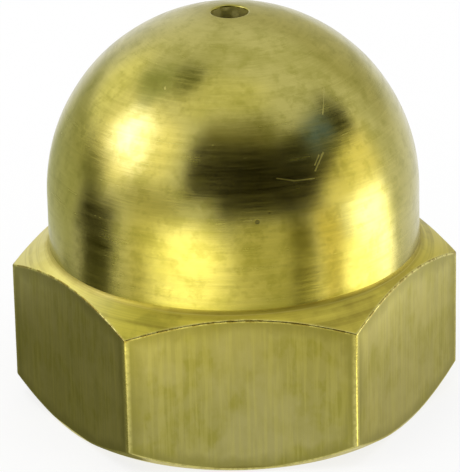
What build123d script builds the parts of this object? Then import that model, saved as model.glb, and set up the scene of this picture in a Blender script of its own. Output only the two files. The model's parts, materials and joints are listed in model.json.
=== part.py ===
"""Brass cap nut, turned in one piece from hexagonal bar.

The origin is the centre of the bearing face, and +Z runs up the thread axis to the crown.
Two opposite flats of the hexagon face -Y and +Y. All sizes are in millimetres and degrees.
"""
from build123d import *
from math import cos, radians, sqrt, tan
import os

# Hexagonal bar that the nut is turned from
across_flats = 17.0
bar_corner_radius = 0.12

# Outside, from the bearing face up
bearing_face_inset = 0.08
bearing_chamfer_angle = 35.0
shoulder_height = 7.25
shoulder_chamfer_angle = 31.0
shoulder_ledge = 0.35
collar_height = 2.45
collar_foot_radius = 0.2

# Tapped hole, an M10 coarse thread left at its minor diameter
thread_diameter = 10.0
thread_pitch = 1.5
mouth_relief = 0.3
mouth_half_angle = 45.0
drill_half_angle = 59.0
crown_thickness = 2.0

# Vent drilled through the crown
vent_diameter = 1.6
vent_edge_break = 0.1

# How far a cutting outline runs past the surface that it cuts
tool_reach = 1.0

# Worked out from the sizes above
corner_radius = across_flats / 2 / cos(radians(30))
bearing_radius = across_flats / 2 - bearing_face_inset
collar_radius = across_flats / 2 - shoulder_ledge
dome_centre_height = shoulder_height + collar_height
overall_height = dome_centre_height + collar_radius

# An ISO metric nut thread is 5/8 as deep as its sharp triangle
thread_depth = thread_pitch * sqrt(3) / 2 * 5 / 8
bore_radius = thread_diameter / 2 - thread_depth
mouth_radius = thread_diameter / 2 + mouth_relief
drill_point_height = bore_radius / tan(radians(drill_half_angle))
bore_depth = overall_height - crown_thickness - drill_point_height
vent_radius = vent_diameter / 2


def turned(profile):
    """Turn a face drawn in (radius, height) about the Z axis."""
    return revolve(Plane.XZ * profile, Axis.Z)


def hexagonal_bar():
    """Drawn bar with slightly rounded corners, as long as the nut is tall."""
    section = RegularPolygon(across_flats / 2, 6, major_radius=False)
    section = fillet(section.vertices(), bar_corner_radius)
    return extrude(section, overall_height)


def turned_outside():
    """Lathe envelope: bearing chamfer, shoulder chamfer, collar and hemispherical crown."""
    swing = corner_radius + tool_reach
    bearing_chamfer_rise = (swing - bearing_radius) * tan(radians(bearing_chamfer_angle))
    shoulder_chamfer_drop = (swing - collar_radius) * tan(radians(shoulder_chamfer_angle))
    crown_top = (0, overall_height)
    collar_foot = (collar_radius, shoulder_height)
    collar_top = (collar_radius, dome_centre_height)
    sides = Polyline(
        crown_top,
        (0, 0),
        (bearing_radius, 0),
        (swing, bearing_chamfer_rise),
        (swing, shoulder_height - shoulder_chamfer_drop),
        collar_foot,
        collar_top,
    )
    crown = CenterArc((0, dome_centre_height), collar_radius, 0, 90)
    profile = make_face(sides + crown)
    foot = profile.vertices().sort_by_distance(collar_foot)[0]
    return turned(fillet(foot, collar_foot_radius))


def tapped_hole():
    """Blind hole from below: countersunk mouth, wall at the minor diameter, drill point."""
    mouth_spread = tan(radians(mouth_half_angle))
    mouth_depth = (mouth_radius - bore_radius) / mouth_spread
    outline = Polyline(
        (0, -tool_reach),
        (mouth_radius + tool_reach * mouth_spread, -tool_reach),
        (bore_radius, mouth_depth),
        (bore_radius, bore_depth),
        (0, bore_depth + drill_point_height),
        close=True,
    )
    return turned(make_face(outline))


def vent_hole():
    """Small drilled hole from the drill point out through the crown, with a broken edge."""
    rim_radius = vent_radius + vent_edge_break
    rim_height = dome_centre_height + sqrt(collar_radius**2 - rim_radius**2)
    outline = Polyline(
        (0, bore_depth),
        (vent_radius, bore_depth),
        (vent_radius, rim_height - vent_edge_break),
        (rim_radius + tool_reach, rim_height + tool_reach),
        (0, rim_height + tool_reach),
        close=True,
    )
    return turned(make_face(outline))


def cap_nut():
    """The finished nut, one solid of brass."""
    blank = hexagonal_bar() & turned_outside()
    return blank - tapped_hole() - vent_hole()


os.makedirs("parts", exist_ok=True)
export_step(cap_nut(), "parts/cap_nut.step")
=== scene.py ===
"""Brass cap nut, finished and set up for a studio picture.

It works in metres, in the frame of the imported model: the origin is the centre of the bearing face, +Z runs
up the thread axis to the crown, and opposite flats of the hexagon face -Y and +Y.
"""

import json
from math import cos, pi, radians, sin, tan

import bpy
from bpy.props import FloatProperty, FloatVectorProperty, PointerProperty
from mathutils import Matrix, Vector


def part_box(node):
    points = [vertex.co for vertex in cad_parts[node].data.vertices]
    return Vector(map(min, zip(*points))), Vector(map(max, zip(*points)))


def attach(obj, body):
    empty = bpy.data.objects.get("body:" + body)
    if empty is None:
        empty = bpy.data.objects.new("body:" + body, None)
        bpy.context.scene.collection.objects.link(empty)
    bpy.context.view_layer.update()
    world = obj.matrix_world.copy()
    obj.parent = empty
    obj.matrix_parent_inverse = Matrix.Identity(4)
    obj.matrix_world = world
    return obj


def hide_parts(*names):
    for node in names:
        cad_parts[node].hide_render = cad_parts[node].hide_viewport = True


bl_info = {
    "name": "Brass Cap Nut",
    "version": (1, 0, 0),
    "blender": (4, 5, 0),
    "location": "View3D > Sidebar > Cap Nut",
    "description": "Builds a brass cap nut with its machined finishes, and a plain studio round it",
    "category": "Add Mesh",
}

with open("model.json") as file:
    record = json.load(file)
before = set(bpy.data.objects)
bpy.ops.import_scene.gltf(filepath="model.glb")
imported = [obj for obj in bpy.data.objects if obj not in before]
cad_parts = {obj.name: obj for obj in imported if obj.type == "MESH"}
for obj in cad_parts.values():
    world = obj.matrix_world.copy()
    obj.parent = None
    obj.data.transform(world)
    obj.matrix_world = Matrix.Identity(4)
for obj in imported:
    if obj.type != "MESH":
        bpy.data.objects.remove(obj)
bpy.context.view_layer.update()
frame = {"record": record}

NUT = "cap_nut"
MM = 0.001
nut_low, nut_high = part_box(NUT)
thread_mount = next(mount for mount in frame["record"]["mounts"] if mount["kind"] == "threaded_hole")
minor_radius = thread_mount["dims"]["r_mm"] * MM

# Sixteen rows to a pitch put a row on every edge of an ISO thread: crest P/4, flanks 5P/16, root P/8
ROWS_PER_PITCH = 16
CREST_SHARE = 1 / 4
ROOT_SHARE = 1 / 8

# The thread gets its full depth between these numbers of turns from the drilled end
RUN_OUT_TURNS = (0.4, 2.4)

# The hexagon: its sides, the angle that one covers, and the place round the nut where the first one starts
SIDES = 6
SIDE_ANGLE = radians(60)
HALF_SIDE = SIDE_ANGLE / 2
FIRST_SIDE = radians(-120)

# How finely the mesh is divided
SPANS_PER_SIDE = 40
CORNER_SPANS = 4
MERGE_DISTANCE = 0.0001 * MM

# Reach of a rounding from its corner, as a share of its radius, where two surfaces turn by about 60 degrees
ROUNDING_REACH = tan(radians(30))

# How far the wear reaches from an edge, in edge radii, and how quickly the edge's width varies round the nut
WEAR_REACH = 0.5
EDGE_LUMPS = 9.0

# The polishing waves, per millimetre, and where they are full, in edge radii above the bearing face
WAVES_PER_MM = 0.45
WAVES_FULL_AT = 4.0

# Scratches on the crown, as start, end and width, and pits, as place and radius. Places are azimuth and
# elevation in degrees from the crown's centre, with azimuth 0 on the camera's side. Sizes are in millimetres
CROWN_SCRATCHES = (
    ((30.8, 28.6), (26.4, 24.0), 0.05),
    ((29.0, 28.2), (26.6, 25.6), 0.035),
    ((12.9, 23.6), (18.6, 22.2), 0.035),
    ((18.6, 22.2), (25.4, 21.8), 0.035),
    ((44.0, 47.3), (36.4, 39.7), 0.045),
    ((-6.5, 10.9), (4.0, 11.9), 0.03),
    ((-33.9, 50.7), (-33.6, 50.3), 0.06),
)
CROWN_PITS = (((5.8, 11.4), 0.13), ((9.6, 13.8), 0.06))

# Round marks, as centre and radius in millimetres: a stain and a patch of painted light on the upper
# chamfer, and paste in the vent
CHAMFER_STAIN = ((6.5, -7.0, 6.9), 6.0)
CHAMFER_PAINTED_LIGHT = ((-9.0, -2.5, 6.9), 7.0)
VENT_DEPOSITS = (((-0.58, 0.55, 17.5), 0.42), ((-0.15, 0.78, 17.72), 0.24), ((0.25, 0.76, 17.4), 0.24))

# Heights between which a film of paste sets in inside the vent, in millimetres
VENT_FILM_RISES = (16.8, 17.5)

# Painted shade in the crease at the collar's foot, in millimetres: its height, and its thin and ragged edge
# on the chamfer
FOOT_SHADE_HEIGHT = 0.5
FOOT_SHADE_THINS = (0.05, 0.25)
FOOT_SHADE_RAGGED = 0.3

# Where the painted shade, worn corners and nicks next to the flats' edges thin out, in millimetres
EDGE_SHADE_THINS = (0.1, 0.75)
EDGE_SHADE_RAGGED = 1.2
RUB_THINS = (0.02, 0.2)
NICKS_THIN = (0.05, 0.2)

# Keeps the clouding of the crown apart from its mottling, in millimetres
CLOUD_SHIFT = (5.0, 0.0, 0.0)

# Chatter marks are long round the bore and short along it
CHATTER_SQUEEZE = (0.4, 0.4, 3.0)

# Turned surfaces stretch their reflections across the tool's rings
TURNED_STRETCH = 0.5
QUARTER_TURN = 0.25

# The floor lies just below the bearing face and reaches this far each way
FLOOR_GAP = 0.05 * MM
FLOOR_REACH = 3.0

# The cards that show in reflections: how finely they are divided, and how far apart they lie
CARD_SPANS = 16
FAR_CARDS_DISTANCE = 0.5
FAR_CARDS_GAP = 0.004
TABLE_CARDS_GAP = 0.005 * MM

# Distances from the nut's axis at which several cards on the table begin or end, in millimetres
UNDER_NUT = 6.5
NEAR = 16
FAR = 450

# How much of a card fades out at its left, right, low and high edges
SOFT_EDGES = (0.4, 0.4, 0.4, 0.4)
ON_TABLE = (0.3, 0.3, 0.12, 0.12)

WARM_DARK = (0.006, 0.005, 0.001)

# Lamp and camera, in metres except for the sensor, which is in millimetres
LAMP_PLACE = (-0.12, -0.1, 0.4)
LAMP_SIZE = 0.2
CAMERA_AIM = (-0.18 * MM, 0.0, 7.32 * MM)
CAMERA_SENSOR = 36.0
NEAREST_SEEN = 0.01
FARTHEST_SEEN = 10.0


def length(name, description, default):
    """A size that a user may change."""
    return FloatProperty(
        name=name, description=description, default=default, min=0.0, unit="LENGTH", precision=5
    )


def angle(name, description, default):
    """An angle that a user may change, given in degrees."""
    return FloatProperty(name=name, description=description, default=radians(default), unit="ROTATION")


def fraction(name, description, default):
    """A number from 0 to 1 that a user may change."""
    return FloatProperty(
        name=name, description=description, default=default, min=0.0, max=1.0, subtype="FACTOR"
    )


def amount(name, description, default):
    """A number without a unit that a user may change."""
    return FloatProperty(name=name, description=description, default=default, min=0.0)


def colour(name, description, default):
    """A linear colour that a user may change."""
    return FloatVectorProperty(
        name=name, description=description, default=default, min=0.0, max=1.0, size=3, subtype="COLOR"
    )


class CapNutSizes(bpy.types.PropertyGroup):
    """Sizes of the nut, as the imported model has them."""

    across_flats: length("Across Flats", "Width of the hexagon", nut_high.y - nut_low.y)
    corner_radius: length("Corner Radius", "Rounding of the drawn bar's corners", 0.12 * MM)
    face_inset: length("Face Inset", "How far the bearing face lies inside the flats", 0.08 * MM)
    bearing_chamfer: angle("Bearing Chamfer", "Angle of the lower chamfer to the bearing face", 35.0)
    shoulder_height: length("Shoulder Height", "Bearing face to the foot of the collar", 7.25 * MM)
    shoulder_ledge: length("Shoulder Ledge", "How far the collar lies inside the flats", 0.35 * MM)
    shoulder_chamfer: angle("Shoulder Chamfer", "Angle of the upper chamfer to the bearing face", 31.0)
    collar_height: length("Collar Height", "Straight wall under the crown", 2.45 * MM)
    foot_radius: length("Foot Radius", "Fillet where the collar meets the shoulder", 0.2 * MM)
    edge_radius: length("Edge Radius", "Rounding of the machined edges", 0.09 * MM)
    edge_wander: fraction("Edge Wander", "How much the machined edges vary in width", 0.6)
    vent_diameter: length("Vent Diameter", "Hole through the crown", 1.6 * MM)
    vent_edge: length("Vent Edge", "Rounding of the vent's rim", 0.1 * MM)
    minor_diameter: length("Minor Diameter", "Bore at the crests of the thread", minor_radius * 2)
    thread_diameter: length("Thread Diameter", "Bore at the roots of the thread", 10.0 * MM)
    thread_pitch: length("Thread Pitch", "Distance between turns of the thread", 1.5 * MM)
    mouth_relief: length("Mouth Relief", "How far the countersunk mouth reaches past the thread", 0.3 * MM)
    crown_thickness: length("Crown Thickness", "Metal over the point of the drilled hole", 2.0 * MM)
    drill_point: angle("Drill Point", "Half of the drill's point angle", 59.0)
    waviness: length("Waviness", "Height of the unevenness left by hand polishing", 0.03 * MM)


class CapNutFinish(bpy.types.PropertyGroup):
    """Colours and roughness of the brass."""

    brass: colour("Brass", "Clean turned brass", (0.45, 0.406, 0.113))
    turned_brass: colour("Turned Brass", "Freshly cut chamfers", (0.61, 0.53, 0.085))
    pale_brass: colour("Pale Brass", "Greyish bloom on the drawn skin", (0.4, 0.36, 0.145))
    drawn_brass: colour("Drawn Brass", "Dull skin of the drawn bar", (0.33, 0.3, 0.086))
    tarnish: colour("Tarnish", "Olive tint of handled brass", (0.27, 0.25, 0.035))
    worn_brass: colour("Worn Brass", "Bright metal on rubbed edges", (0.7, 0.63, 0.21))
    grime: colour("Grime", "Dirt in pits", (0.05, 0.045, 0.015))
    # Painted shade: the colour that darkens the flats next to their edges
    edge_shade_tone: colour("Edge Shade", "Painted shade next to the flats' edges", (0.225, 0.205, 0.04))
    stain: colour("Stain", "Brown stain on the chamfers", (0.25, 0.19, 0.03))
    paste: colour("Paste", "Dried polishing paste in the vent", (0.34, 0.3, 0.08))
    crown_roughness: fraction("Crown Roughness", "Polished crown and collar", 0.22)
    chamfer_roughness: fraction("Chamfer Roughness", "Turned chamfers", 0.38)
    flat_roughness: fraction("Flat Roughness", "Drawn flats", 0.36)
    bore_roughness: fraction("Bore Roughness", "Drilled and tapped hole", 0.34)


class CapNutStudio(bpy.types.PropertyGroup):
    """Floor, light and camera of the studio."""

    floor: colour("Floor", "Pale floor", (0.9, 0.9, 0.9))
    lift: fraction("Floor Lift", "How much of the floor's brightness doesn't come from the lamps", 0.8)
    light: amount("Light", "Strength of the white surroundings", 1.0)
    key_light: amount("Key Light", "Power of the lamp overhead in watts", 0.25)
    lens: amount("Lens", "Focal length in millimetres", 293.9)
    distance: length("Camera Distance", "From the camera to the aimed point", 169.65 * MM)
    turn: angle("Camera Turn", "Camera's place round the nut", -1.19)
    elevation: angle("Camera Elevation", "Camera's place above the horizon", 22.99)
    roll: angle("Camera Roll", "Tilt of the picture", -1.17)


class Value:
    """A socket that takes part in Python expressions. Each operator adds the node that works it out."""

    def __init__(self, graph, socket):
        self.graph = graph
        self.socket = socket

    def __add__(self, other):
        return self.graph.maths("ADD", self, other)

    def __radd__(self, other):
        return self.graph.maths("ADD", other, self)

    def __sub__(self, other):
        return self.graph.maths("SUBTRACT", self, other)

    def __rsub__(self, other):
        return self.graph.maths("SUBTRACT", other, self)

    def __mul__(self, other):
        return self.graph.maths("MULTIPLY", self, other)

    def __rmul__(self, other):
        return self.graph.maths("MULTIPLY", other, self)

    def __truediv__(self, other):
        return self.graph.maths("DIVIDE", self, other)

    def __rtruediv__(self, other):
        return self.graph.maths("DIVIDE", other, self)

    def is_vector(self):
        return self.socket.type == "VECTOR"

    def other(self, name):
        """Another output of the same node."""
        return Value(self.graph, self.socket.node.outputs[name])

    def part(self, axis):
        """One component of a vector, by its letter."""
        return self.graph.node("ShaderNodeSeparateXYZ", {0: self}, output=axis)


class Graph:
    """A node tree that is written as Python expressions."""

    def __init__(self, tree):
        self.tree = tree
        tree.nodes.clear()

    def node(self, kind, inputs=None, output=0, **settings):
        """Adds a node: its settings come first, then its inputs. Returns one output."""
        made = self.tree.nodes.new(kind)
        for name, setting in settings.items():
            setattr(made, name, setting)
        for name, value in (inputs or {}).items():
            self.feed(made.inputs[name], value)
        return Value(self, made.outputs[output]) if len(made.outputs) else made

    def feed(self, socket, value):
        """Links or sets one input. A list links several values to it."""
        if isinstance(value, list):
            for item in value:
                self.feed(socket, item)
        elif isinstance(value, Value):
            self.tree.links.new(value.socket, socket)
        elif socket.type == "RGBA" and len(value) == 3:
            socket.default_value = (*value, 1.0)
        else:
            socket.default_value = value

    def maths(self, operation, *values, clamp=False):
        """A Math or Vector Math node, as the values need."""
        vectors = [isinstance(v, (tuple, Vector)) or isinstance(v, Value) and v.is_vector() for v in values]
        if not any(vectors):
            inputs = dict(enumerate(values))
            return self.node("ShaderNodeMath", inputs, operation=operation, use_clamp=clamp)
        if operation == "MULTIPLY" and not all(vectors):
            vector, factor = values if vectors[0] else reversed(values)
            return self.node("ShaderNodeVectorMath", {0: vector, "Scale": factor}, operation="SCALE")
        output = "Value" if operation in {"LENGTH", "DOT_PRODUCT", "DISTANCE"} else "Vector"
        return self.node("ShaderNodeVectorMath", dict(enumerate(values)), output, operation=operation)

    def vector(self, x, y, z):
        return self.node("ShaderNodeCombineXYZ", {0: x, 1: y, 2: z})

    def fade(self, value, start, end):
        """0 at start and 1 at end, with a soft turn at both."""
        inputs = {"Value": value, "From Min": start, "From Max": end}
        return self.node("ShaderNodeMapRange", inputs, interpolation_type="SMOOTHSTEP")

    def mix(self, factor, first, second):
        """From first to second as factor goes from 0 to 1: numbers or vectors."""
        return first + (second - first) * factor

    def blend(self, factor, first, second):
        """Mixes two colours."""
        inputs = {0: factor, 6: first, 7: second}
        return self.node("ShaderNodeMix", inputs, output=2, data_type="RGBA")

    def noise(self, vector, scale=1.0, detail=2.0, roughness=0.5):
        """Smooth noise from 0 to 1."""
        inputs = {"Vector": vector, "Scale": scale, "Detail": detail, "Roughness": roughness}
        return self.node("ShaderNodeTexNoise", inputs, noise_dimensions="3D")


class NutMesh:
    """Geometry Nodes for a nut that is a turned profile cut to a hexagon.

    Each stretch of the profile is a grid. Its X runs round the nut and its Y along the profile, and a rule
    gives the radius and height. The grids share their edges, so that merging makes one closed surface.
    """

    def __init__(self, tree, finishes):
        self.graph = Graph(tree)
        self.finishes = list(finishes)
        self.inputs = self.add_inputs(finishes)
        self.bands = []
        self.lay_out_round()
        self.work_out_profile()

    def add_inputs(self, finishes):
        """The group's inputs: one for each size and one for each finish."""
        interface = self.graph.tree.interface
        sizes = CapNutSizes.bl_rna.properties
        named = list(CapNutSizes.__annotations__)
        for name in named:
            socket = interface.new_socket(sizes[name].name, in_out="INPUT", socket_type="NodeSocketFloat")
            socket.default_value = sizes[name].default
        for name in finishes:
            interface.new_socket(name, in_out="INPUT", socket_type="NodeSocketMaterial")
        interface.new_socket("Nut", in_out="OUTPUT", socket_type="NodeSocketGeometry")
        group = self.graph.tree.nodes.new("NodeGroupInput")
        values = {name: Value(self.graph, group.outputs[sizes[name].name]) for name in named}
        values.update({name: Value(self.graph, group.outputs[name]) for name in finishes})
        return values

    def lay_out_round(self):
        """The direction round the nut and the hexagon's radius there, from the grid's X."""
        g, size = self.graph, self.inputs
        place = g.node("GeometryNodeInputPosition")
        side = (place.part("X") + 0.5) * SIDES
        across = (side - g.maths("FLOOR", side)) * 2.0 - 1.0
        corner_share = 2 * CORNER_SPANS / SPANS_PER_SIDE
        outward = g.maths("ABSOLUTE", across)
        along_flat = g.maths("MINIMUM", outward / (1 - corner_share), 1.0)
        along_flat = along_flat * (2.0 - along_flat)
        turned = g.maths("MAXIMUM", (outward - (1 - corner_share)) / corner_share, 0.0) * HALF_SIDE
        flat_distance = size["across_flats"] / 2
        flat_end = (flat_distance - size["corner_radius"]) * tan(HALF_SIDE)
        x = flat_distance - size["corner_radius"] * (1.0 - g.maths("COSINE", turned))
        y = flat_end * along_flat + size["corner_radius"] * g.maths("SINE", turned)
        swing = g.maths("ARCTAN2", y, x) * g.maths("SIGN", across)
        self.turned_angle = (g.maths("FLOOR", side) + 0.5) * SIDE_ANGLE + swing
        azimuth = self.turned_angle + FIRST_SIDE
        self.direction = g.vector(g.maths("COSINE", azimuth), g.maths("SINE", azimuth), 0.0)
        self.hexagon_radius = g.maths("SQRT", x * x + y * y)
        self.corner_distance = flat_end * (1.0 - along_flat)
        self.along = place.part("Y") + 0.5

    def work_out_profile(self):
        """The named points of the profile, as vectors with the radius for X and the height for Z."""
        g, size = self.graph, self.inputs
        flat_distance = size["across_flats"] / 2
        collar_radius = flat_distance - size["shoulder_ledge"]
        bearing_radius = flat_distance - size["face_inset"]
        bore_radius = size["minor_diameter"] / 2
        mouth_radius = size["thread_diameter"] / 2 + size["mouth_relief"]
        vent_radius = size["vent_diameter"] / 2
        centre = size["shoulder_height"] + size["collar_height"]
        drill_slope = 1.0 / g.maths("TANGENT", size["drill_point"])
        drill_tip = centre + collar_radius - size["crown_thickness"]
        rise = (self.hexagon_radius - bearing_radius) * g.maths("TANGENT", size["bearing_chamfer"])
        drop = (self.hexagon_radius - collar_radius) * g.maths("TANGENT", size["shoulder_chamfer"])
        rim_radius = vent_radius + size["vent_edge"]

        def point(radius, height):
            return g.vector(radius, 0.0, height)

        self.collar_radius = collar_radius
        self.crown_centre = centre
        self.bore_radius = bore_radius
        self.mouth_radius = mouth_radius
        self.bore_depth = drill_tip - bore_radius * drill_slope
        self.rim_angle = g.maths("ARCCOSINE", rim_radius / collar_radius)
        self.mouth_rim = point(mouth_radius, 0.0)
        self.bearing_rim = point(bearing_radius, 0.0)
        self.lower_edge = point(self.hexagon_radius, rise)
        self.upper_edge = point(self.hexagon_radius, size["shoulder_height"] - drop)
        self.collar_foot = point(collar_radius, size["shoulder_height"])
        self.collar_top = point(collar_radius, centre)
        vent_top = centre + g.maths("SQRT", collar_radius * collar_radius - vent_radius * vent_radius)
        self.vent_corner = point(vent_radius, vent_top)
        self.vent_side = point(vent_radius, vent_top - size["vent_edge"])
        self.vent_foot = point(vent_radius, drill_tip - vent_radius * drill_slope)
        self.drill_shoulder = point(bore_radius, self.bore_depth)

    def wandering(self, distance, seed):
        """A distance that varies round the nut, as a hand-fed cut leaves it."""
        g = self.graph
        uneven = g.noise(self.direction * EDGE_LUMPS + (0.0, 0.0, seed), detail=3.0)
        return distance * (1.0 + self.inputs["edge_wander"] * (uneven - 0.5) * 2.0)

    def towards(self, start, end, distance):
        """The point that lies a distance from start on the way to end."""
        way = self.graph.maths("NORMALIZE", end - start)
        return start + way * distance

    def stored(self, geometry, name, value, data_type="FLOAT", domain="POINT"):
        """The geometry with a value kept on it, for the finishes to read."""
        inputs = {"Geometry": geometry, "Name": name, "Value": value}
        return self.graph.node("GeometryNodeStoreNamedAttribute", inputs, data_type=data_type, domain=domain)

    def band(self, place, finish, spans, wear=0.0):
        """One stretch of the surface, from its rule for radius and height."""
        g = self.graph
        around = SIDES * SPANS_PER_SIDE
        inputs = {"Size X": 1.0, "Size Y": 1.0, "Vertices X": around + 1, "Vertices Y": spans + 1}
        grid = g.node("GeometryNodeMeshGrid", inputs)
        grid = self.stored(grid, "wear", wear)
        grid = self.stored(grid, "from_corner", self.corner_distance / MM)
        grid = self.stored(grid, "zone", self.finishes.index(finish), "INT", "FACE")
        turned = self.direction * place.part("X") + g.vector(0.0, 0.0, place.part("Z"))
        self.bands.append(g.node("GeometryNodeSetPosition", {"Geometry": grid, "Position": turned}))

    def straight(self, start, end, finish, spans, corner_wear=False):
        """A straight stretch. Its rows lie closer near its ends, and it is worn next to the edges."""
        g = self.graph
        eased = self.along * self.along * (3.0 - 2.0 * self.along)
        reach = g.maths("LENGTH", end - start) * g.maths("MINIMUM", eased, 1.0 - eased)
        if corner_wear:
            reach = g.maths("MINIMUM", reach, self.corner_distance)
        wear = 1.0 - g.fade(reach, 0.0, self.inputs["edge_radius"] * WEAR_REACH)
        self.band(g.mix(eased, start, end), finish, spans, wear)

    def rounded(self, start, corner, end, finish, spans, wear=1.0):
        """A rounded edge that leaves start and reaches end in line with the stretches beside it."""
        g, t = self.graph, self.along
        self.band(g.mix(t, g.mix(t, start, corner), g.mix(t, corner, end)), finish, spans, wear)

    def edge(self, before, corner, after, distance, finish, spans=5, wear=1.0):
        """Rounds a corner of the profile. Returns the points where the rounding starts and ends."""
        start = self.towards(corner, before, distance)
        end = self.towards(corner, after, distance)
        self.rounded(start, corner, end, finish, spans, wear)
        return start, end

    def outside(self):
        """Bearing face, chamfers, flats, collar and crown, from the bore's mouth up to the vent."""
        edge_reach = self.inputs["edge_radius"] * ROUNDING_REACH
        foot_reach = self.inputs["foot_radius"] * ROUNDING_REACH
        rim_reach = self.wandering(edge_reach / 2, seed=1.0)
        low_reach = self.wandering(edge_reach, seed=2.0)
        high_reach = self.wandering(edge_reach, seed=3.0)
        rim = self.edge(self.mouth_rim, self.bearing_rim, self.lower_edge, rim_reach, "Bearing Finish")
        low = self.edge(self.bearing_rim, self.lower_edge, self.upper_edge, low_reach, "Flat Finish")
        high = self.edge(self.lower_edge, self.upper_edge, self.collar_foot, high_reach, "Flat Finish")
        foot = self.edge(
            self.upper_edge, self.collar_foot, self.collar_top, foot_reach,
            "Chamfer Finish", spans=8, wear=0.0,
        )
        self.straight(self.mouth_rim, rim[0], "Bearing Finish", spans=8)
        self.straight(rim[1], low[0], "Chamfer Finish", spans=6)
        self.straight(low[1], high[0], "Flat Finish", spans=20, corner_wear=True)
        self.straight(high[1], foot[0], "Chamfer Finish", spans=10)
        self.band(self.graph.mix(self.along, foot[1], self.collar_top), "Crown Finish", spans=8)
        self.band(self.on_crown(self.along * self.rim_angle), "Crown Finish", spans=64)

    def on_crown(self, risen):
        """The point of the crown at an angle above its foot."""
        g = self.graph
        radius = self.collar_radius * g.maths("COSINE", risen)
        return g.vector(radius, 0.0, self.crown_centre + self.collar_radius * g.maths("SINE", risen))

    def inside(self):
        """Vent, drill point and tapped bore, from the crown down to the mouth."""
        rim = self.on_crown(self.rim_angle)
        self.rounded(rim, self.vent_corner, self.vent_side, "Crown Finish", spans=6, wear=0.0)
        self.straight(self.vent_side, self.vent_foot, "Bore Finish", spans=12)
        self.straight(self.vent_foot, self.drill_shoulder, "Bore Finish", spans=12)
        self.thread()

    def thread(self):
        """Helical rows from the drilled end to the mouth. A row that would pass an end stays on it."""
        g, size = self.graph, self.inputs
        pitch = size["thread_pitch"]
        rows = g.maths("CEIL", (self.bore_depth / pitch + 1.0) * ROWS_PER_PITCH)
        round_share = self.turned_angle / (2 * pi)
        height = self.bore_depth + pitch * (round_share - self.along * rows / ROWS_PER_PITCH)
        height = g.maths("MAXIMUM", g.maths("MINIMUM", height, self.bore_depth), 0.0)
        turns = (self.bore_depth - height) / pitch + round_share
        from_root = g.maths("ABSOLUTE", g.maths("FRACT", turns) - 0.5)
        flank_share = (1 - CREST_SHARE - ROOT_SHARE) / 2
        tooth = g.maths("DIVIDE", 0.5 - CREST_SHARE / 2 - from_root, flank_share, clamp=True)
        shallow_turns, full_turns = RUN_OUT_TURNS
        run_out = g.fade(self.bore_depth - height, pitch * shallow_turns, pitch * full_turns)
        depth = (size["thread_diameter"] - size["minor_diameter"]) / 2
        cut = self.bore_radius + depth * tooth * run_out
        countersink = self.mouth_radius - height
        self.band(g.vector(g.maths("MAXIMUM", cut, countersink), 0.0, height), "Bore Finish", spans=rows)

    def finish(self):
        """Joins the bands into one closed surface, uneven from polishing above its flat bearing face."""
        g = self.graph
        joined = g.node("GeometryNodeJoinGeometry", {"Geometry": self.bands})
        merged = g.node("GeometryNodeMergeByDistance", {"Geometry": joined, "Distance": MERGE_DISTANCE})
        place = g.node("GeometryNodeInputPosition")
        normal = g.node("GeometryNodeInputNormal")
        uneven = g.noise(place * (1 / MM), scale=WAVES_PER_MM, detail=1.0) - 0.5
        off_the_face = g.fade(place.part("Z"), 0.0, self.inputs["edge_radius"] * WAVES_FULL_AT)
        shift = normal * (uneven * off_the_face * self.inputs["waviness"])
        moved = g.node("GeometryNodeSetPosition", {"Geometry": merged, "Offset": shift})
        smooth = g.node("GeometryNodeSetShadeSmooth", {"Geometry": moved})
        finished = g.node("GeometryNodeRealizeInstances", {"Geometry": smooth})
        zone = g.node("GeometryNodeInputNamedAttribute", {"Name": "zone"}, data_type="INT")
        for order, name in enumerate(self.finishes):
            chosen = g.maths("COMPARE", zone, order, 0.5)
            inputs = {"Geometry": finished, "Selection": chosen, "Material": self.inputs[name]}
            finished = g.node("GeometryNodeSetMaterial", inputs)
        g.node("NodeGroupOutput", {"Nut": finished})


def added(context, name, data):
    """A new object in the scene, with its mesh, lamp or camera."""
    made = bpy.data.objects.new(name, data)
    context.scene.collection.objects.link(made)
    return made


def plain_material(name):
    """A new material, and the graph of its nodes."""
    material = bpy.data.materials.new(name)
    material.use_nodes = True
    return material, Graph(material.node_tree)


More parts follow.
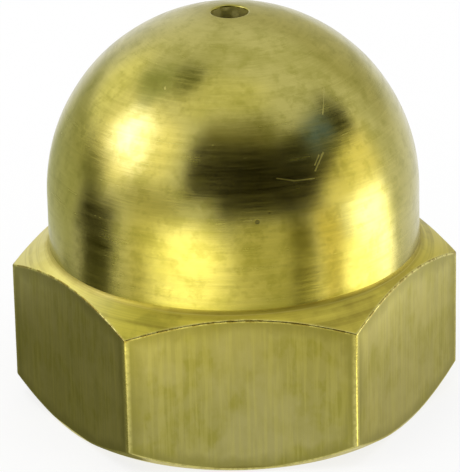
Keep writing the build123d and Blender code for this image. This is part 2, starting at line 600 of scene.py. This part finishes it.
class Brass:
    """What the nut's finishes share: object coordinates in millimetres, marks, tints and the shader."""

    def __init__(self, name, shade):
        self.material, self.graph = plain_material(name)
        self.shade = shade
        g = self.graph
        self.sizes = bpy.context.scene.cap_nut_sizes
        self.collar_radius = (self.sizes.across_flats / 2 - self.sizes.shoulder_ledge) / MM
        self.place = g.node("ShaderNodeTexCoord", output="Object") * (1 / MM)
        self.height = self.place.part("Z")
        self.radius = g.maths("LENGTH", self.place * (1.0, 1.0, 0.0))
        self.direction = g.maths("NORMALIZE", self.place * (1.0, 1.0, 0.0))
        self.wear = g.node("ShaderNodeAttribute", output="Fac", attribute_name="wear")

    def rings(self, along, per_mm, detail=2.0, drift=1.5):
        """Marks of a turning tool: noise that is fine along the profile and slow round the axis."""
        g = self.graph
        return g.noise(self.direction * drift + g.vector(0.0, 0.0, along * per_mm), detail=detail)

    def scratch(self, start, end, width):
        """1 on a straight mark between two points, and 0 away from it."""
        g = self.graph
        way = Vector(end) - Vector(start)
        from_start = self.place - start
        share_along = g.maths("DOT_PRODUCT", from_start, tuple(way / way.length_squared))
        share_along = g.maths("MINIMUM", g.maths("MAXIMUM", share_along, 0.0), 1.0)
        nearest = g.vector(*(share_along * part for part in way))
        distance = g.maths("LENGTH", from_start - nearest)
        return 1.0 - g.fade(distance, width / 3, width)

    def dot(self, centre, radius):
        """1 on a round mark, and 0 away from it."""
        distance = self.graph.maths("DISTANCE", self.place, centre)
        return 1.0 - self.graph.fade(distance, radius / 2, radius)

    def any_of(self, marks):
        """Where any of the marks is."""
        together = marks[0]
        for mark in marks[1:]:
            together = self.graph.maths("MAXIMUM", together, mark)
        return together

    def patchy(self, mark, texture, least, rises):
        """A mark that is whole where a texture has risen, and has only its least share below that."""
        return mark * self.graph.mix(self.graph.fade(texture, *rises), least, 1.0)

    def tint(self, tone, where, share=1.0, rises=None):
        """Lays a share of a tone over the shade, where a mark is or where a texture has risen."""
        if rises:
            where = self.graph.fade(where, *rises)
        self.shade = self.graph.blend(where * share, self.shade, tone)

    def varied(self, level, *textures):
        """A level that each texture moves up and down, over the range that comes with it."""
        for texture, span in textures:
            level = level + (texture - 0.5) * span
        return level

    def drawn_out(self, squeeze):
        """The place with its height squeezed, which draws a texture out along the bar."""
        return self.place * (1.0, 1.0, squeeze)

    def finish(self, roughness, height, relief, anisotropy=0.0, metallic=1.0):
        """The shader, with its relief in millimetres for a height of 1."""
        g = self.graph
        inputs = {"Strength": 1.0, "Distance": relief * MM, "Height": height}
        bump = g.node("ShaderNodeBump", inputs)
        inputs = {
            "Base Color": self.shade,
            "Metallic": metallic,
            "Roughness": roughness,
            "Normal": bump,
            "Anisotropic": anisotropy,
            "Anisotropic Rotation": QUARTER_TURN,
        }
        g.node("ShaderNodeOutputMaterial", {"Surface": g.node("ShaderNodeBsdfPrincipled", inputs)})
        return self.material


def crown_finish(settings):
    """Turned and polished crown and collar, with the scratches of handling."""
    brass = Brass("turned_crown", settings.brass)
    g = brass.graph
    shoulder = brass.sizes.shoulder_height / MM
    centre = shoulder + brass.sizes.collar_height / MM

    def crown_point(azimuth, elevation):
        """A point of the crown, in millimetres."""
        level = brass.collar_radius * cos(radians(elevation))
        height = centre + brass.collar_radius * sin(radians(elevation))
        return (level * sin(radians(azimuth)), -level * cos(radians(azimuth)), height)

    scratches = brass.any_of([
        brass.scratch(crown_point(*start), crown_point(*end), width) for start, end, width in CROWN_SCRATCHES
    ])
    pits = brass.any_of([brass.dot(crown_point(*place), radius) for place, radius in CROWN_PITS])
    risen = g.maths("ARCTAN2", g.maths("MAXIMUM", brass.height - centre, 0.0), brass.radius)
    along = risen * brass.collar_radius + g.maths("MINIMUM", brass.height - centre, 0.0)
    fine = brass.rings(along, per_mm=17.0, drift=4.0)
    coarse = brass.rings(along, per_mm=3.6, detail=3.0, drift=2.2)
    cloud = g.noise(brass.place + CLOUD_SHIFT, scale=0.5, detail=5.0, roughness=0.6)
    mottle = g.noise(brass.place, scale=1.3, detail=5.0, roughness=0.65)
    # Painted shade in the crease at the collar's foot
    foot = 1.0 - g.fade(brass.height, shoulder, shoulder + FOOT_SHADE_HEIGHT)
    brass.tint(settings.tarnish, cloud, share=0.45, rises=(0.4, 0.7))
    brass.tint(settings.tarnish, mottle, share=0.4, rises=(0.48, 0.64))
    brass.tint(settings.tarnish, coarse, share=0.22, rises=(0.5, 0.7))
    brass.tint(settings.worn_brass, fine, share=0.1, rises=(0.45, 0.7))
    brass.tint(settings.tarnish, foot, share=0.5)
    brass.tint(settings.worn_brass, brass.wear, share=0.4)
    brass.tint(settings.worn_brass, scratches, share=0.3)
    brass.tint(settings.grime, pits, share=0.5)
    roughness = brass.varied(settings.crown_roughness, (coarse, 0.19), (fine, 0.12), (mottle, 0.12))
    roughness = roughness + scratches * 0.14
    height = coarse + fine * 0.3 - pits
    return brass.finish(roughness, height, relief=0.0022, anisotropy=TURNED_STRETCH)


def chamfer_finish(settings):
    """Turned chamfers, with the tool's rings."""
    brass = Brass("turned_chamfer", settings.turned_brass)
    g = brass.graph
    fine = brass.rings(brass.radius, per_mm=14.0)
    coarse = brass.rings(brass.radius, per_mm=3.5, drift=0.8)
    smear = g.noise(brass.place, scale=0.7, detail=4.0, roughness=0.6)
    # Painted shade in the crease at the collar's foot, ragged on the chamfer, which is also rougher there
    past_collar = brass.varied(brass.radius - brass.collar_radius, (smear, FOOT_SHADE_RAGGED))
    foot = 1.0 - g.fade(past_collar, *FOOT_SHADE_THINS)
    stain = brass.patchy(brass.dot(*CHAMFER_STAIN), smear, least=0.4, rises=(0.35, 0.55))
    # Painted light: a lighter patch that brightens the left side of the chamfer
    rub_and_painted_light = brass.patchy(brass.dot(*CHAMFER_PAINTED_LIGHT), smear, least=0.65, rises=(0.35, 0.6))
    arcs = g.fade(coarse, 0.5, 0.62) * g.fade(smear, 0.4, 0.6)
    brass.tint(settings.tarnish, coarse, share=0.35, rises=(0.4, 0.7))
    brass.tint(settings.tarnish, smear, share=0.35, rises=(0.5, 0.66))
    brass.tint(settings.worn_brass, rub_and_painted_light, share=0.95)
    brass.tint(settings.stain, fine, share=0.18, rises=(0.45, 0.65))
    brass.tint(settings.stain, stain, share=0.4)
    brass.tint(settings.stain, foot, share=0.35)
    brass.tint(settings.worn_brass, brass.wear, share=0.6)
    brass.tint(settings.stain, arcs, share=0.28)
    roughness = brass.varied(settings.chamfer_roughness, (coarse, 0.15)) + foot * 0.2
    return brass.finish(roughness, fine * 0.5 + coarse, relief=0.004, anisotropy=TURNED_STRETCH)


def flat_finish(settings):
    """Flats of drawn bar: lines along the bar over a dull, mottled skin, and painted shade that darkens them
    next to the corners.
    """
    brass = Brass("drawn_flat", settings.drawn_brass)
    g, sizes = brass.graph, brass.sizes
    from_corner = g.node("ShaderNodeAttribute", output="Fac", attribute_name="from_corner")
    lines = g.noise(brass.drawn_out(0.04), scale=7.0, detail=3.0)
    fine = g.noise(brass.drawn_out(0.06), scale=16.0, detail=1.0)
    mottle = g.noise(brass.drawn_out(0.6), scale=1.5, detail=5.0, roughness=0.6)
    cloud = g.noise(brass.place, scale=0.4, detail=3.0)
    ragged = g.noise(brass.place, scale=7.0, detail=2.0)
    nicks = g.fade(g.noise(brass.place, scale=2.5, detail=3.0), 0.45, 0.55)
    past_collar = brass.radius - brass.collar_radius
    past_face = brass.radius - (sizes.across_flats / 2 - sizes.face_inset) / MM
    below_chamfer = sizes.shoulder_height / MM - past_collar * tan(sizes.shoulder_chamfer) - brass.height
    above_chamfer = brass.height - past_face * tan(sizes.bearing_chamfer)
    inside = g.maths("MINIMUM", from_corner, g.maths("MINIMUM", below_chamfer, above_chamfer))
    # Painted shade that darkens the flats next to their corners and chamfer edges
    painted_edge_shade = 1.0 - g.fade(brass.varied(inside, (mottle, EDGE_SHADE_RAGGED)), *EDGE_SHADE_THINS)
    beside_corner = 1.0 - g.fade(from_corner, *RUB_THINS)
    on_upper_edge = 1.0 - g.fade(below_chamfer, *NICKS_THIN)
    edges = g.maths("MAXIMUM", brass.wear, beside_corner * 0.75)
    rub_and_painted_light = brass.patchy(edges, ragged, least=0.55, rises=(0.35, 0.6))
    brass.tint(settings.tarnish, mottle, share=0.7, rises=(0.4, 0.65))
    brass.tint(settings.pale_brass, cloud, share=0.5, rises=(0.42, 0.6))
    brass.tint(settings.brass, lines, share=0.38, rises=(0.42, 0.65))
    brass.tint(settings.edge_shade_tone, painted_edge_shade, share=0.65)
    brass.tint(settings.worn_brass, rub_and_painted_light, share=0.7)
    brass.tint(settings.stain, brass.wear * nicks * on_upper_edge, share=0.8)
    roughness = brass.varied(settings.flat_roughness, (mottle, 0.16)) - rub_and_painted_light * 0.1
    height = lines * 0.7 + fine * 0.4 + mottle * 0.8
    return brass.finish(roughness, height, relief=0.0045)


def bearing_finish(settings):
    """Faced underside."""
    brass = Brass("faced_bearing", settings.brass)
    rings = brass.rings(brass.radius, per_mm=9.0, drift=0.6)
    brass.tint(settings.tarnish, rings, share=0.6)
    brass.tint(settings.worn_brass, brass.wear, share=0.6)
    roughness = brass.varied(settings.chamfer_roughness, (rings, 0.2))
    return brass.finish(roughness, rings, relief=0.008)


def bore_finish(settings):
    """Drilled and tapped inside, with dried paste in the vent."""
    brass = Brass("tapped_bore", settings.brass)
    g = brass.graph
    chatter = g.noise(brass.place * CHATTER_SQUEEZE, scale=5.0, detail=3.0)
    deposits = brass.any_of([brass.dot(place, radius) for place, radius in VENT_DEPOSITS])
    film = g.fade(brass.height, *VENT_FILM_RISES)
    paste = g.maths("MAXIMUM", deposits * 0.8, film * 0.35)
    brass.tint(settings.tarnish, chatter, share=0.7)
    brass.tint(settings.paste, paste)
    roughness = brass.varied(settings.bore_roughness, (chatter, 0.15)) + paste * 0.4
    return brass.finish(roughness, chatter, relief=0.006, metallic=1.0 - paste)


FINISHES = {
    "Crown Finish": crown_finish,
    "Chamfer Finish": chamfer_finish,
    "Flat Finish": flat_finish,
    "Bearing Finish": bearing_finish,
    "Bore Finish": bore_finish,
}


class CAPNUT_OT_build_nut(bpy.types.Operator):
    """Builds the nut in place of the plain solid"""

    bl_idname = "cap_nut.build_nut"
    bl_label = "Build Nut"

    def execute(self, context):
        sizes = context.scene.cap_nut_sizes
        settings = context.scene.cap_nut_finish
        tree = bpy.data.node_groups.new("Cap Nut", "GeometryNodeTree")
        nut_mesh = NutMesh(tree, FINISHES)
        nut_mesh.outside()
        nut_mesh.inside()
        nut_mesh.finish()
        nut = added(context, "brass_cap_nut", bpy.data.meshes.new("brass_cap_nut"))
        modifier = nut.modifiers.new("Cap Nut", "NODES")
        modifier.node_group = tree
        labels = {CapNutSizes.bl_rna.properties[name].name: name for name in CapNutSizes.__annotations__}
        for socket in tree.interface.items_tree:
            if socket.name in labels:
                modifier[socket.identifier] = getattr(sizes, labels[socket.name])
            elif socket.name in FINISHES:
                modifier[socket.identifier] = FINISHES[socket.name](settings)
        graph = context.evaluated_depsgraph_get()
        finished = bpy.data.meshes.new_from_object(
            nut.evaluated_get(graph), preserve_all_data_layers=True, depsgraph=graph
        )
        if not finished.polygons:
            raise RuntimeError("the nut came out empty")
        nut.modifiers.remove(modifier)
        nut.data = finished
        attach(nut, "root")
        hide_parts(NUT)
        return {"FINISHED"}


def between(ends, share):
    """The number at a share of the way between two ends."""
    return ends[0] + (ends[1] - ends[0]) * share


class Card:
    """A card or softbox that shows only in reflections. Azimuth 0 is the camera's side and 90 is +X.

    It covers a range of azimuths and an extent in the other direction, and its tone fades out at its edges.
    """

    def __init__(self, name, tone, azimuths, extent, fades=SOFT_EDGES):
        self.name = name
        self.tone = tone
        self.azimuths = azimuths
        self.extent = extent
        self.fades = fades

    def point(self, across, along, order):
        """A point of the card, from its place across and along it, and the card's order among the others."""
        azimuth = radians(between(self.azimuths, across))
        radius, height = self.radius_and_height(along, order)
        return (radius * sin(azimuth), -radius * cos(azimuth), height)


class FarCard(Card):
    """Part of a sphere round the nut. Its extent is a range of elevations."""

    def radius_and_height(self, along, order):
        distance = FAR_CARDS_DISTANCE - FAR_CARDS_GAP * order
        elevation = radians(between(self.extent, along))
        return distance * cos(elevation), distance * sin(elevation)


class TableCard(Card):
    """Part of a ring on the table. Its extent is a range of millimetres from the nut's axis."""

    def radius_and_height(self, along, order):
        inner, outer = self.extent
        return inner * (outer / inner) ** along * MM, TABLE_CARDS_GAP * (1 + order)


# Later cards lie over earlier ones
CARDS = [
    FarCard("haze_right", (0.72, 0.7, 0.52), (112, 190), (-1, 50), (0.25, 0.1, 0.2, 0.35)),
    FarCard("glow_high_left", (1.45, 1.4, 1.15), (-112, -14), (52, 84)),
    FarCard("glow_top", (1.27, 1.24, 1.0), (-125, 100), (62, 90), (0.2, 0.2, 0.35, 0.02)),
    FarCard("glow_back_left", (1.48, 1.45, 1.06), (-156, -104), (9, 50), (0.4, 0.4, 0.35, 0.4)),
    FarCard("haze_left", (0.54, 0.55, 0.33), (-164, -96), (-1, 20), (0.3, 0.3, 0.05, 0.5)),
    FarCard("softbox_spill", (1.95, 1.82, 1.38), (-124, -34), (8, 58), (0.3, 0.25, 0.4, 0.3)),
    FarCard("softbox_low", (1.9, 1.75, 1.2), (-115, -62), (3, 30), (0.35, 0.35, 0.5, 0.3)),
    FarCard("softbox_left", (4.8, 4.8, 7.2), (-108, -60), (15, 48.5)),
    FarCard("band_left", (0.55, 0.52, 0.26), (-80, -26), (-3, 21), (0.35, 0.3, 0.1, 0.5)),
    FarCard("haze_high_left", (0.45, 0.51, 0.27), (-136, -84), (37, 67), (0.3, 0.28, 0.3, 0.3)),
    FarCard("flag_high_left", (0.18, 0.2, 0.065), (-142, -67), (60.5, 78), (0.25, 0.22, 0.25, 0.18)),
    FarCard("strip_left", (0.2, 0.21, 0.07), (-118, -84), (-1, 24), (0.4, 0.35, 0.05, 0.6)),
    FarCard("glow_right", (1.64, 1.49, 0.85), (46, 114), (-1, 30), (0.3, 0.35, 0.05, 0.4)),
    FarCard("flag_right", (0.08, 0.087, 0.033), (36, 104), (20, 48.5), (0.1, 0.1, 0.18, 0.15)),
    FarCard("flag_right_low", (0.1, 0.09, 0.03), (44, 80), (8, 32), (0.2, 0.5, 0.4, 0.2)),
    FarCard("flag_right_blue", (0.13, 0.215, 0.44), (53, 90), (28, 50), (0.3, 0.3, 0.3, 0.3)),
    FarCard("flag_right_dark", (0.02, 0.024, 0.008), (82, 107), (28, 41), (0.22, 0.2, 0.22, 0.25)),
    FarCard("shade_camera", (0.3, 0.28, 0.12), (-41, 56), (10, 70), (0.25, 0.3, 0.1, 0.3)),
    FarCard("flag_camera_left", WARM_DARK, (-38, 30), (11, 53), (0.14, 0.25, 0.15, 0.2)),
    FarCard("flag_camera", WARM_DARK, (-21, 62), (-2, 50), (0.2, 0.18, 0.14, 0.24)),
    TableCard("table_left", (0.6, 0.62, 0.4), (-164, -90), (19, FAR), (0.3, 0.3, 0.08, 0.12)),
    TableCard("table_strip", (0.03, 0.03, 0.008), (-109, -66), (24, FAR), ON_TABLE),
    TableCard("table_strip_foot", (0.05, 0.05, 0.015), (-99, -66), (NEAR, 38), (0.3, 0.3, 0.2, 0.3)),
    TableCard("table_glow_wide", (1.15, 1.07, 0.58), (-75, 4), (NEAR, FAR), ON_TABLE),
    TableCard("table_glow_left", (2.9, 2.8, 2.2), (-54, -2), (NEAR, 300), (0.5, 0.5, 0.15, 0.4)),
    TableCard("table_shade", (0.86, 0.81, 0.43), (-12, 46), (NEAR, FAR), ON_TABLE),
    TableCard("table_dark", (0.28, 0.25, 0.07), (24, 46), (NEAR, FAR), (0.5, 0.25, 0.12, 0.12)),
    TableCard("table_brown", (1.35, 1.15, 0.5), (42, 66), (NEAR, FAR), ON_TABLE),
    TableCard("table_glow_right", (4.6, 4.5, 4.6), (58, 105), (NEAR, FAR), (0.5, 0.35, 0.12, 0.3)),
    TableCard("table_near_front", (1.2, 1.12, 0.62), (-46, 26), (20, 30)),
    TableCard("table_glow_foot", (3.3, 3.1, 2.0), (-55, 9), (23.5, 60), (0.4, 0.5, 0.1, 0.7)),
    # Painted shadow: the next three cards darken the table round the nut's foot, where the floor's shadow
    # falls, as reflections show it
    TableCard("table_shadow_under_front", (0.5, 0.45, 0.24), (-50, 50), (UNDER_NUT, 8.8), (0.1, 0.3, 0.1, 0.15)),
    TableCard("table_shadow_near_left", (0.26, 0.26, 0.15), (-118, -26), (UNDER_NUT, 24), (0.05, 0.05, 0.1, 0.12)),
    TableCard("table_shadow_near_right", (0.8, 0.77, 0.56), (32, 160), (UNDER_NUT, 25), (0.1, 0.1, 0.1, 0.2)),
    TableCard("table_foot_right", (4.0, 3.8, 2.5), (54, 90), (19, 33), (0.3, 0.3, 0.15, 0.5)),
    TableCard("table_glint", (4.0, 3.8, 2.4), (31, 51), (10.5, 22), (0.3, 0.3, 0.2, 0.15)),
]


class CAPNUT_OT_build_studio(bpy.types.Operator):
    """Sets up the floor, the cards, the light and the camera"""

    bl_idname = "cap_nut.build_studio"
    bl_label = "Build Studio"

    def execute(self, context):
        studio = context.scene.cap_nut_studio
        self.floor(context, studio)
        for order, card in enumerate(CARDS):
            self.card(context, card, order)
        self.surroundings(context, studio)
        self.key_light(context, studio)
        self.camera(context, studio)
        return {"FINISHED"}

    def floor(self, context, studio):
        """Pale floor. From below it lets the camera through, so that the underside can be looked at."""
        far, level = FLOOR_REACH, nut_low.z - FLOOR_GAP
        corners = [(-far, -far, level), (far, -far, level), (far, far, level), (-far, far, level)]
        mesh = bpy.data.meshes.new("floor")
        mesh.from_pydata(corners, [], [(0, 1, 2, 3)])
        material, g = plain_material("pale_floor")
        diffuse = g.node("ShaderNodeBsdfDiffuse", {"Color": studio.floor})
        white = g.node("ShaderNodeEmission", {"Color": (1.0, 1.0, 1.0), "Strength": 1.0})
        ray = g.node("ShaderNodeLightPath", output="Is Camera Ray")
        reflected = g.maths("MAXIMUM", ray.other("Is Glossy Ray"), ray.other("Is Transmission Ray"))
        seen = g.maths("MAXIMUM", ray, reflected)
        lifted = g.node("ShaderNodeMixShader", {0: seen * studio.lift, 1: diffuse, 2: white})
        clear = g.node("ShaderNodeBsdfTransparent")
        below = g.node("ShaderNodeNewGeometry", output="Backfacing")
        surface = g.node("ShaderNodeMixShader", {0: below, 1: lifted, 2: clear})
        g.node("ShaderNodeOutputMaterial", {"Surface": surface})
        mesh.materials.append(material)
        added(context, "floor", mesh)

    def card(self, context, card, order):
        """One card, as a grid of faces that only reflections show."""
        steps = [step / CARD_SPANS for step in range(CARD_SPANS + 1)]
        points = [card.point(across, along, order) for along in steps for across in steps]
        row = CARD_SPANS + 1
        starts = [row * j + i for j in range(CARD_SPANS) for i in range(CARD_SPANS)]
        mesh = bpy.data.meshes.new(card.name)
        mesh.from_pydata(points, [], [(k, k + 1, k + row + 1, k + row) for k in starts])
        spread = mesh.uv_layers.new(name="spread")
        for loop in mesh.loops:
            spread.data[loop.index].uv = (steps[loop.vertex_index % row], steps[loop.vertex_index // row])
        mesh.materials.append(self.card_material(card))
        made = added(context, card.name, mesh)
        for rays in ("camera", "diffuse", "transmission", "volume_scatter", "shadow"):
            setattr(made, "visible_" + rays, False)

    def card_material(self, card):
        """A plain tone that fades out towards the card's edges."""
        material, g = plain_material(card.name)
        place = g.node("ShaderNodeUVMap", uv_map="spread")
        shown = 1.0
        across, along = place.part("X"), place.part("Y")
        for inside, fade in zip((across, 1.0 - across, along, 1.0 - along), card.fades):
            shown = g.fade(inside, 0.0, fade) * shown
        strength = max(card.tone)
        tone = tuple(part / strength for part in card.tone)
        light = g.node("ShaderNodeEmission", {"Color": tone, "Strength": strength})
        clear = g.node("ShaderNodeBsdfTransparent")
        surface = g.node("ShaderNodeMixShader", {0: shown, 1: clear, 2: light})
        g.node("ShaderNodeOutputMaterial", {"Surface": surface})
        return material

    def surroundings(self, context, studio):
        """Even white light from all round."""
        world = bpy.data.worlds.new("white_studio")
        world.use_nodes = True
        g = Graph(world.node_tree)
        light = g.node("ShaderNodeBackground", {"Color": (1.0, 1.0, 1.0), "Strength": studio.light})
        g.node("ShaderNodeOutputWorld", {"Surface": light})
        context.scene.world = world

    def key_light(self, context, studio):
        """A wide lamp overhead, which gives the nut its soft shadow."""
        lamp = bpy.data.lights.new("key_light", "AREA")
        lamp.energy = studio.key_light
        lamp.size = LAMP_SIZE
        made = added(context, "key_light", lamp)
        made.location = LAMP_PLACE
        made.rotation_mode = "QUATERNION"
        made.rotation_quaternion = (-made.location).to_track_quat("-Z", "Y")
        made.visible_camera = False
        made.visible_glossy = False

    def camera(self, context, studio):
        """The photograph's view. It is higher than it is wide, so the sensor's size goes with its height."""
        data = bpy.data.cameras.new("camera")
        data.lens = studio.lens
        data.sensor_width = CAMERA_SENSOR
        data.clip_start = NEAREST_SEEN
        data.clip_end = FARTHEST_SEEN
        back = Vector((
            sin(studio.turn) * cos(studio.elevation),
            -cos(studio.turn) * cos(studio.elevation),
            sin(studio.elevation),
        ))
        camera = added(context, "camera", data)
        upright = (-back).to_track_quat("-Z", "Y").to_matrix().to_4x4()
        aim = Vector(CAMERA_AIM)
        camera.matrix_world = (
            Matrix.Translation(aim + back * studio.distance) @ upright @ Matrix.Rotation(studio.roll, 4, "Z")
        )
        context.scene.camera = camera
        context.scene.view_settings.view_transform = "Standard"


class CAPNUT_PT_panel(bpy.types.Panel):
    """Sizes, colours and the build buttons"""

    bl_idname = "CAPNUT_PT_panel"
    bl_label = "Cap Nut"
    bl_space_type = "VIEW_3D"
    bl_region_type = "UI"
    bl_category = "Cap Nut"

    def draw(self, context):
        scene = context.scene
        for operator in OPERATORS:
            self.layout.operator(operator.bl_idname)
        for group in (scene.cap_nut_sizes, scene.cap_nut_finish, scene.cap_nut_studio):
            box = self.layout.box()
            for name in type(group).__annotations__:
                box.prop(group, name)


GROUPS = {"cap_nut_sizes": CapNutSizes, "cap_nut_finish": CapNutFinish, "cap_nut_studio": CapNutStudio}
OPERATORS = (CAPNUT_OT_build_nut, CAPNUT_OT_build_studio)
CLASSES = (*GROUPS.values(), *OPERATORS, CAPNUT_PT_panel)


def register():
    for cls in CLASSES:
        bpy.utils.register_class(cls)
    for name, group in GROUPS.items():
        setattr(bpy.types.Scene, name, PointerProperty(type=group))


def unregister():
    for name in GROUPS:
        delattr(bpy.types.Scene, name)
    for cls in reversed(CLASSES):
        bpy.utils.unregister_class(cls)


def main():
    register()
    bpy.ops.cap_nut.build_nut()
    bpy.ops.cap_nut.build_studio()


if __name__ == "__main__":
    main()
